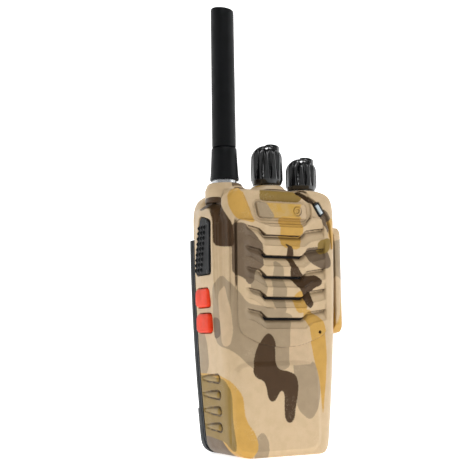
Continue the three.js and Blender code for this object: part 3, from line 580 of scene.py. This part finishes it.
label = solid(
    "label_face", label_field, span(-14, 12.4, 0.25), span(-15.6, -13.7, 0.2), span(96.4, 104.3, 0.25))
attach(label, "radio_body")
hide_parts("label_plate")
paint(label, label_field)


def bezel_field(x, y, z):
    lu, lv = lens_turn(x, z)
    outline = rounded_box(lu, lv, -1.4, 1.4, -2.8, 2.8, 0.7)
    ring = smooth_max(outline, -(outline + 0.55), 0.1)
    sunk = np.maximum(ring, -14.9 - y)
    floor = np.maximum(outline, -14.0 - y)
    return smooth_max(np.minimum(sunk, floor), y + 11.6, 0.1)


def window_field(x, y, z):
    lu, lv = lens_turn(x, z)
    outline = rounded_box(lu, lv, -0.8, 0.8, -2.2, 2.2, 0.4)
    return smooth_max(smooth_max(outline, -15.15 - y, 0.5), y + 14.1, 0.1)


bezel = solid(
    "status_bezel", bezel_field, span(14, 21, 0.2), span(-15.6, -11.2, 0.3), span(97.5, 105.5, 0.2))
window = solid(
    "status_window", window_field, span(14, 21, 0.18), span(-15.6, -13.8, 0.15), span(98, 105, 0.18))
for piece in (bezel, window):
    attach(piece, "radio_body")
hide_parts("status_lens")


def talk_field(x, y, z):
    """The talk button's cap, with slanted rows of domes, a raised border and a flange behind."""
    outline = polygon_distance(y, z, TALK_CAP)
    lift = np.zeros(np.broadcast(y, z).shape)
    for row in range(9):
        for column in range(3):
            by = 1.9 + column * 2.4 + row * 0.42
            bz = 94.0 - row * 2.2
            dome = 1 - ((y - by) ** 2 + (z - bz) ** 2) / 0.85
            lift = np.maximum(lift, 0.75 * np.maximum(dome, 0))
    border = 0.55 * (1 - step(0.5, 1.0, np.abs(outline + 1.1))) * (1 - step(-1.0, 0.6, y))
    face = 28.35 + lift + border
    cap = smooth_max(outline, -x - np.minimum(face, 29.15), 0.7)
    cap = smooth_max(cap, x + 25.2, 0.1)
    flange = np.maximum(outline - 0.7, np.abs(x + 24.9) - 0.35)
    return np.minimum(cap, flange)


talk = solid(
    "talk_button_cap", talk_field, span(-29.6, -24.3, 0.22), span(-5.4, 12.2, 0.25), span(73, 100, 0.25))
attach(talk, "talk_button_body")
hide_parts("talk_button")


def key_piece(name, body, node, ky, kz):
    inner = half_width(kz) - WALL - GAP

    def field(x, y, z):
        outline = rounded_box(
            y, z, ky - KEY_HALF[0], ky + KEY_HALF[0], kz - KEY_HALF[1], kz + KEY_HALF[1], 2.0)
        dome = 28.6 - 0.3 * (((y - ky) / KEY_HALF[0]) ** 2 + ((z - kz) / KEY_HALF[1]) ** 2)
        dimple = 0.22 * np.exp(-(((y - ky) / 2.2) ** 2 + ((z - kz) / 1.6) ** 2))
        cap = smooth_max(outline, -x - dome + dimple, 1.1)
        cap = smooth_max(cap, x + inner - 0.4, 0.1)
        flange = np.maximum(outline - 0.7, np.abs(x + inner - 0.4) - 0.35)
        return np.minimum(cap, flange)

    piece = solid(
        name, field, span(-29, -23.6, 0.22), span(ky - 7.4, ky + 7.4, 0.25), span(kz - 5.2, kz + 5.2, 0.25))
    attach(piece, body)
    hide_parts(node)
    return piece


keys = [
    key_piece("upper_key_cap", "upper_key_body", "upper_side_key", *KEYS["upper"]),
    key_piece("lower_key_cap", "lower_key_body", "lower_side_key", *KEYS["lower"])]

COVER_OUTLINE = rounded([(4.6, 49.4), (4.6, 95.6), (-10.6, 95.6), (-10.6, 49.4)], 8)


def cover_field(x, y, z):
    """The flap over the jacks: a chamfered plate, hollow inside, on a knuckle round its pin."""
    outline = polygon_distance(y, z, COVER_OUTLINE)
    outer = x - 32.2
    chamfer = outer * 0.6 - (y + 8.6) * 0.8
    rear = outer * 0.7 + (y - 3.2) * 0.7
    plate = smooth_max(smooth_max(outline, outer, 0.9), smooth_max(chamfer, rear, 0.3), 0.8)
    rim = 0.25 * np.exp(-((outline + 2.6) / 0.35) ** 2)
    plate = smooth_max(plate + rim, 27.9 - x, 0.2)
    hollow = np.maximum(rounded_box(y, z, -6.6, 3.4, 52.4, 92.6, 0.6), x - 30.1)
    between_ears = np.abs(z - HINGE_MIDDLE) - 20.7
    knuckle = np.maximum(rod_z(x, y, HINGE_X, HINGE_Y, 1.4), between_ears)
    web = np.maximum(rounded_box(x, y, 28.5, 30.3, 4, HINGE_Y, 0.2), between_ears)
    both = np.minimum(np.maximum(plate, -hollow), np.minimum(knuckle, web))
    return np.maximum(both, 0.85 - rod_z(x, y, HINGE_X, HINGE_Y, 0))


cover = solid(
    "jack_cover_flap", cover_field, span(27.4, 32.8, 0.3), span(-11.2, 8.8, 0.35), span(48.8, 96.2, 0.4))
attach(cover, "jack_cover")
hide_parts("accessory_cover")
paint(cover, cover_field)


def battery_field(x, y, z):
    """The battery's cover, with a thicker foot that has grip lines, and a shallow recess above."""
    back = form(x, y, z, 0, 18.4, 2.6)
    foot = np.maximum(form(x, y, z, 0.2, 20.0, 2.6), z - 19)
    both = smooth_min(np.maximum(back, z - 89.8), foot, 0.4)
    grip_area = (z > 4) * (z < 16) * (np.abs(x) < 13) * (y > 18.6)
    grip = 0.45 * np.exp(-(((z - 4) % 2.4 - 1.2) / 0.5) ** 2) * grip_area
    panel = rounded_box(x, z, -19, 19, 26, 82, 3.0)
    recess = 0.4 * (1 - step(-0.4, 0.2, panel)) * (y > 16.5)
    return smooth_max(both + grip + recess, 14.7 - y, 0.1)


battery = solid(
    "battery_back", battery_field, span(-28.6, 28.6, 0.5), span(14.2, 20.4, 0.35), span(-0.5, 90.6, 0.45))
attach(battery, "battery_pack")
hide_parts("battery_cover")


# ---------- knobs and aerial ----------

def knob_piece(name, body, node, cx, radius, base, top):
    """A knob with six tapering flutes, a domed top and a raised pointer."""
    def field(x, y, z):
        dx, dy = x - cx, y
        rho = np.hypot(dx, dy)
        wave = np.abs(((np.arctan2(dy, dx) / math.pi * 6) % 1) - 0.5) * 2
        height = (z - base) / (top - base)
        width = np.interp(height, [0.1, 0.16, 0.85, 1.0], [0.0, 0.3, 1.0, 1.0])
        flute = np.clip(1 - wave / np.maximum(width, 0.01), 0, 1) * (width > 0)
        flute = flute * (1 - step(0.86, 1.0, height) * 0.6)
        swell = np.interp(
            height, [0, 0.05, 0.12, 0.3, 0.6, 0.8, 1], [0.88, 0.93, 1.0, 1.0, 0.98, 0.95, 0.92])
        side = rho - radius * swell + 1.2 * flute
        dome = z - (top - 0.5 - 0.045 * rho * rho - 0.0012 * rho ** 4)
        body_form = smooth_max(side, dome, 0.9)
        along = dx * POINTER[0] + dy * POINTER[1]
        across = dy * POINTER[0] - dx * POINTER[1]
        pointer = np.maximum(np.abs(across) - 0.9, np.maximum(-along, along - radius * 0.86))
        pointer = smooth_max(pointer, z - (top + 0.02 - 0.006 * along ** 3), 0.6)
        body_form = smooth_min(body_form, np.maximum(pointer, top - 5 - z), 0.3)
        body_form = smooth_max(body_form, base - z, 0.4)
        return np.maximum(body_form, -np.maximum(rho - 3.3, z - top + 4.6))

    reach = radius + 0.5
    sides, heights = span(-reach, reach, 0.22), span(base - 0.4, top + 0.4, 0.24)
    piece = solid(name, field, span(cx - reach, cx + reach, 0.22), sides, heights)
    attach(piece, body)
    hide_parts(node)
    return piece


knobs = [
    knob_piece("channel_dial", "channel_control", "channel_knob", CHANNEL_X, 6.8, 112.8, 130.6),
    knob_piece("volume_dial", "volume_control", "volume_knob", VOLUME_X, 6.7, 111.3, 126.0)]

whip = lathe("aerial_whip", [
    (0, 127.7), (4.6, 127.7), (5.0, 128.0), (5.05, 128.6), (5.0, 140), (4.94, 160), (4.88, 184),
    (4.86, 186.4), (4.7, 187.0), (4.3, 187.3), (0, 187.35)], ANTENNA_X, 0, lean=(-0.1, 0.06), lean_from=180)
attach(whip, "antenna")
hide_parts("antenna_whip")
sleeve = lathe("aerial_sleeve", [
    (5.3, 113.8), (5.9, 113.7), (6.05, 114.0), (6.05, 114.6), (5.9, 115.6), (5.62, 120), (5.4, 124.4),
    (5.3, 127.0), (5.1, 127.4), (4.4, 127.5), (0, 127.5), (0, 117), (5.3, 117), (5.3, 113.8)], ANTENNA_X, 0)
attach(sleeve, "antenna")
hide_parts("antenna_sleeve")


# ---------- materials ----------

class Look:
    """A procedural material, built up from the object's own coordinates in millimetres."""

    def __init__(self, name):
        self.material = bpy.data.materials.new(name)
        self.material.use_nodes = True
        self.tree = self.material.node_tree
        self.shader = self.tree.nodes["Principled BSDF"]
        coordinates = self.tree.nodes.new("ShaderNodeTexCoord")
        scale = self.add("ShaderNodeVectorMath", operation="SCALE")
        scale.inputs["Scale"].default_value = 1000.0
        self.link(coordinates.outputs["Object"], scale.inputs[0])
        self.place = scale.outputs[0]

    def add(self, kind, **settings):
        node = self.tree.nodes.new(kind)
        for key, value in settings.items():
            setattr(node, key, value)
        return node

    def link(self, start, end):
        self.tree.links.new(start, end)

    def noise(self, scale, detail=3.0, rough=0.55):
        node = self.add("ShaderNodeTexNoise")
        node.inputs["Scale"].default_value = scale
        node.inputs["Detail"].default_value = detail
        node.inputs["Roughness"].default_value = rough
        self.link(self.place, node.inputs["Vector"])
        return node.outputs["Fac"]

    def math(self, operation, a, b):
        node = self.add("ShaderNodeMath", operation=operation)
        for socket, value in zip(node.inputs, (a, b)):
            if isinstance(value, (int, float)):
                socket.default_value = value
            else:
                self.link(value, socket)
        return node.outputs[0]

    def ramp(self, value, low, high, to_low, to_high):
        node = self.add("ShaderNodeMapRange", interpolation_type="SMOOTHSTEP")
        self.link(value, node.inputs["Value"])
        limits = {"From Min": low, "From Max": high, "To Min": to_low, "To Max": to_high}
        for key, number in limits.items():
            node.inputs[key].default_value = number
        return node.outputs["Result"]

    def mix(self, share, a, b):
        """Colour a where share is 0 and colour b where it is 1."""
        node = self.add("ShaderNodeMix", data_type="RGBA", blend_type="MIX")
        for socket, value in ((node.inputs[0], share), (node.inputs[6], a), (node.inputs[7], b)):
            if isinstance(value, (int, float, tuple)):
                socket.default_value = value
            else:
                self.link(value, socket)
        return node.outputs[2]

    def bump(self, *layers):
        """Each layer is a height, its strength and its depth in millimetres."""
        before = None
        for height, strength, depth in layers:
            node = self.add("ShaderNodeBump")
            node.inputs["Strength"].default_value = strength
            node.inputs["Distance"].default_value = depth * 0.001
            self.link(height, node.inputs["Height"])
            if before is not None:
                self.link(before, node.inputs["Normal"])
            before = node.outputs[0]
        self.link(before, self.shader.inputs["Normal"])

    def finish(self, color, roughness, metallic=0.0, specular=0.5, coat=0.0):
        self.link(color, self.shader.inputs["Base Color"])
        self.link(roughness, self.shader.inputs["Roughness"])
        self.shader.inputs["Metallic"].default_value = metallic
        self.shader.inputs["Specular IOR Level"].default_value = specular
        self.shader.inputs["Coat Weight"].default_value = coat
        return self.material


def shade(code, factor=1.0):
    """A linear colour from a screen colour code, made darker or lighter by the factor."""
    parts = [int(code[i:i + 2], 16) / 255 for i in (0, 2, 4)]
    linear = [p / 12.92 if p <= 0.04045 else ((p + 0.055) / 1.055) ** 2.4 for p in parts]
    return tuple(min(p * factor, 1.0) for p in linear) + (1.0,)


CAMO_COLOURS = {
    "taupe": "A28E72",
    "grey": "705E4A",
    "ochre": "C69B4E",
    "olive": "8C7238",
    "dark": "47321C",
    "pale": "C8AE8C",
}


def camo_look(name, base="C9B08D"):
    """The printed pattern, colour by colour over the base, then speckle, rubbed places and painted shade in
    hollows and creases.
    """
    look = Look(name)
    mottle = look.noise(0.28, 4.0)
    fine = look.noise(1.9, 4.0, 0.65)
    colour = look.mix(look.ramp(mottle, 0.35, 0.7, 0, 0.45), shade(base), shade("BBA37F"))
    edge = look.math("MULTIPLY", look.math("SUBTRACT", fine, 0.5), 0.7)
    for index, layer in enumerate(CAMO):
        code = CAMO_COLOURS[layer]
        if index % 3 == 0:
            store = look.add("ShaderNodeAttribute", attribute_name=f"camo_{index // 3}")
            split = look.add("ShaderNodeSeparateXYZ")
            look.link(store.outputs["Vector"], split.inputs[0])
        distance = look.math("ADD", split.outputs[index % 3], edge)
        share = look.ramp(distance, -0.22, 0.22, 1.0, 0.0)
        tone = look.mix(look.ramp(mottle, 0.3, 0.75, 0, 0.5), shade(code), shade(code, 0.8))
        colour = look.mix(share, colour, tone)
    speckle = look.noise(5.5, 2.0, 0.7)
    colour = look.mix(look.ramp(speckle, 0.62, 0.74, 0, 0.28), colour, shade("6E5B42"))
    rubbed_area = look.ramp(look.noise(0.09, 3.0), 0.5, 0.7, 0, 1)
    rub = look.math("MULTIPLY", rubbed_area, look.ramp(fine, 0.5, 0.66, 0, 0.22))
    colour = look.mix(rub, colour, shade("DCCBAA"))
    # Painted shade: the colour darkens towards 4A3A28 where the hollow attribute says the surface sits in a
    # crease or recess, with a little noise mixed in.
    hollow = look.add("ShaderNodeAttribute", attribute_name="hollow")
    painted_crease_shade = look.math("ADD", hollow.outputs["Fac"], look.math("MULTIPLY", edge, 0.1))
    colour = look.mix(look.ramp(painted_crease_shade, 0.06, 0.66, 0.0, 0.9), colour, shade("4A3A28"))
    roughness = look.ramp(look.noise(0.22, 4.0), 0.3, 0.7, 0.3, 0.46)
    look.bump((look.noise(3.2, 3.0, 0.6), 0.35, 0.05), (look.noise(0.12, 2.0), 0.4, 0.12))
    return look.finish(colour, roughness, specular=0.2)


def plain_look(
        name, colours, roughness, grain, depth, metallic=0.0, wear=0.2, specular=0.5, coat=0.0):
    """One material in a main colour, a darker one in blotches and a lighter one where it is scuffed."""
    base, dark, light = colours
    look = Look(name)
    mottle = look.noise(0.2, 4.0)
    fine = look.noise(grain, 3.0, 0.65)
    colour = look.mix(look.ramp(mottle, 0.3, 0.7, 0, 0.8), shade(base), shade(dark))
    scuffed_area = look.ramp(look.noise(0.13, 2.0), 0.48, 0.68, 0, 1)
    scuff = look.math("MULTIPLY", scuffed_area, look.ramp(fine, 0.5, 0.68, 0, wear))
    colour = look.mix(scuff, colour, shade(light))
    grainy = look.math("ADD", look.math("MULTIPLY", mottle, 0.6), look.math("MULTIPLY", fine, 0.4))
    look.bump((fine, 0.5, depth), (look.noise(0.35, 2.0), 0.25, depth * 2))
    return look.finish(colour, look.ramp(grainy, 0.3, 0.7, *roughness), metallic, specular, coat)


looks = {
    "camo_plastic": camo_look("camouflage_plastic"),
    "label_plastic": camo_look("label_plastic", "C29A4A"),
    "black_plastic": plain_look(
        "gloss_black_plastic", ("060708", "030304", "1E2022"), (0.1, 0.22), 1.6, 0.01,
        wear=0.1, specular=0.6, coat=0.4),
    "soft_black": plain_look(
        "satin_black_rubber", ("0B0D0F", "07090A", "202427"), (0.34, 0.5), 3.0, 0.03, specular=0.15),
    "orange_rubber": plain_look(
        "orange_rubber", ("EC3C14", "D4330F", "F86A44"), (0.36, 0.52), 2.4, 0.03,
        wear=0.15, specular=0.2),
    "dark_grey_plastic": plain_look(
        "dark_grey_plastic", ("1C2023", "15181A", "3C4145"), (0.45, 0.62), 2.4, 0.06, specular=0.25),
    "chassis_metal": plain_look(
        "cast_chassis", ("3A3D40", "2A2C2E", "8C8F92"), (0.45, 0.65), 1.8, 0.08, metallic=0.8),
    "steel": plain_look(
        "plated_steel", ("B9BBBD", "9C9FA2", "E6E7E8"), (0.2, 0.4), 2.2, 0.02, metallic=1.0),
    "brass": plain_look(
        "brass", ("C6A04C", "A98436", "E8CE8A"), (0.22, 0.4), 2.2, 0.02, metallic=1.0),
    "board_green": plain_look("circuit_board", ("1F5A3A", "174630", "6F9C7E"), (0.35, 0.5), 1.2, 0.05),
    "speaker_fabric": plain_look(
        "speaker_cloth", ("0B0B0C", "050506", "232324"), (0.85, 0.95), 2.2, 0.2),
    "cell_wrap": plain_look("cell_wrap", ("7F8A92", "6D777F", "AEB6BC"), (0.35, 0.5), 1.4, 0.03),
    "clear_lens": plain_look(
        "clear_lens", ("C9D3D6", "B4C0C4", "F2F6F7"), (0.06, 0.16), 1.4, 0.01, specular=0.6),
}
lens_black = plain_look("lens_bezel_black", ("101113", "08090A", "3C3E40"), (0.2, 0.35), 1.8, 0.02)


def dress(piece, material):
    piece.data.materials.clear()
    piece.data.materials.append(material)


for part in frame["record"]["subparts"]:
    dress(nodes[part["node"]], looks[part["material_slot"]])
for piece in (case, cover):
    dress(piece, looks["camo_plastic"])
dress(label, looks["label_plastic"])
dress(bezel, lens_black)
dress(window, looks["clear_lens"])
for piece in (talk, whip, sleeve):
    dress(piece, looks["soft_black"])
for piece in keys:
    dress(piece, looks["orange_rubber"])
for piece in knobs:
    dress(piece, looks["black_plastic"])
dress(battery, looks["dark_grey_plastic"])


# ---------- camera, floor and light ----------

def aimed_camera():
    """The camera stands low, in front and to the left, and looks up a little past the object."""
    away, height = 447.0, 46.5
    stand = math.radians(30)
    place = np.array([-math.sin(stand) * away, -math.cos(stand) * away, height])
    yaw = math.radians(28.3169)
    pitch = math.radians(5.7912)
    roll = math.radians(0.9)
    level = np.array([math.sin(yaw), math.cos(yaw), 0])
    right = np.array([level[1], -level[0], 0])
    ahead = math.cos(pitch) * level + np.array([0, 0, math.sin(pitch)])
    up = np.array([0, 0, math.cos(pitch)]) - math.sin(pitch) * level
    tilted_right = math.cos(roll) * right - math.sin(roll) * up
    tilted_up = math.sin(roll) * right + math.cos(roll) * up
    data = bpy.data.cameras.new("camera")
    data.sensor_width = 36.0
    data.lens = 80.8085
    data.clip_start, data.clip_end = 0.02, 20.0
    camera = bpy.data.objects.new("camera", data)
    bpy.context.scene.collection.objects.link(camera)
    spin = np.stack([tilted_right, tilted_up, -ahead], 1)
    camera.matrix_world = Matrix.Translation(place * 0.001) @ Matrix(spin.tolist()).to_4x4()
    bpy.context.scene.camera = camera


def soft_light(name, place, aim, size, power):
    """A rectangular light; its place, aim and size are in metres."""
    data = bpy.data.lights.new(name, "AREA")
    data.shape = "RECTANGLE"
    data.size, data.size_y = size
    data.energy = power
    light = bpy.data.objects.new(name, data)
    bpy.context.scene.collection.objects.link(light)
    back = np.array(place, float) - np.array(aim, float)
    back /= np.linalg.norm(back)
    right = np.cross([0, 0, 1], back)
    right /= np.linalg.norm(right)
    spin = np.stack([right, np.cross(back, right), back], 1)
    light.matrix_world = Matrix.Translation(place) @ Matrix(spin.tolist()).to_4x4()


def pale_floor():
    """A round floor that curves up far from the object. It glows, except at the front left."""
    radii = [0, 500, 1200, 1600, 1900, 2100, 2200]
    heights = [0, 0, 0, 80, 280, 600, 1400]
    profile = [(radius, height - 0.05) for radius, height in zip(radii, heights)]
    floor = lathe("floor", profile, 0, 0, 96)
    look = Look("pale_floor")
    white, off_white = (0.93, 0.93, 0.93, 1), (0.9, 0.9, 0.9, 1)
    colour = look.mix(look.ramp(look.noise(0.004, 2.0), 0.3, 0.7, 0, 1), white, off_white)
    look.bump((look.noise(0.4, 2.0), 0.05, 0.05))
    roughness = look.ramp(look.noise(0.02, 2.0), 0.3, 0.7, 0.75, 0.85)
    dress(floor, look.finish(colour, roughness, specular=0.2))
    forward = look.add("ShaderNodeVectorMath", operation="DOT_PRODUCT")
    forward.inputs[1].default_value = (-0.5, -0.866, 0)
    look.link(look.place, forward.inputs[0])
    glow = look.ramp(forward.outputs["Value"], 40, 200, 0.8, 0.0)
    look.link(glow, look.shader.inputs["Emission Strength"])
    look.shader.inputs["Emission Color"].default_value = (1, 1, 1, 1)


aimed_camera()
pale_floor()
soft_light("front_box", (-0.3, -1.1, 1.2), (0, 0, 0.08), (0.45, 0.45), 5)
soft_light("left_strip", (-1.3, 0.2, 0.4), (0, 0, 0.09), (0.2, 1.0), 1.4)
soft_light("right_strip", (1.0, -0.9, 0.4), (0, 0, 0.09), (0.2, 1.0), 2.5)
soft_light("top_box", (0.1, 0.0, 1.4), (0, 0, 0.1), (0.45, 0.45), 9)
world = bpy.data.worlds.new("studio")
world.use_nodes = True
world.node_tree.nodes["Background"].inputs["Color"].default_value = (1, 1, 1, 1)
world.node_tree.nodes["Background"].inputs["Strength"].default_value = 0.12
bpy.context.scene.world = world
bpy.context.scene.view_settings.view_transform = "Standard"
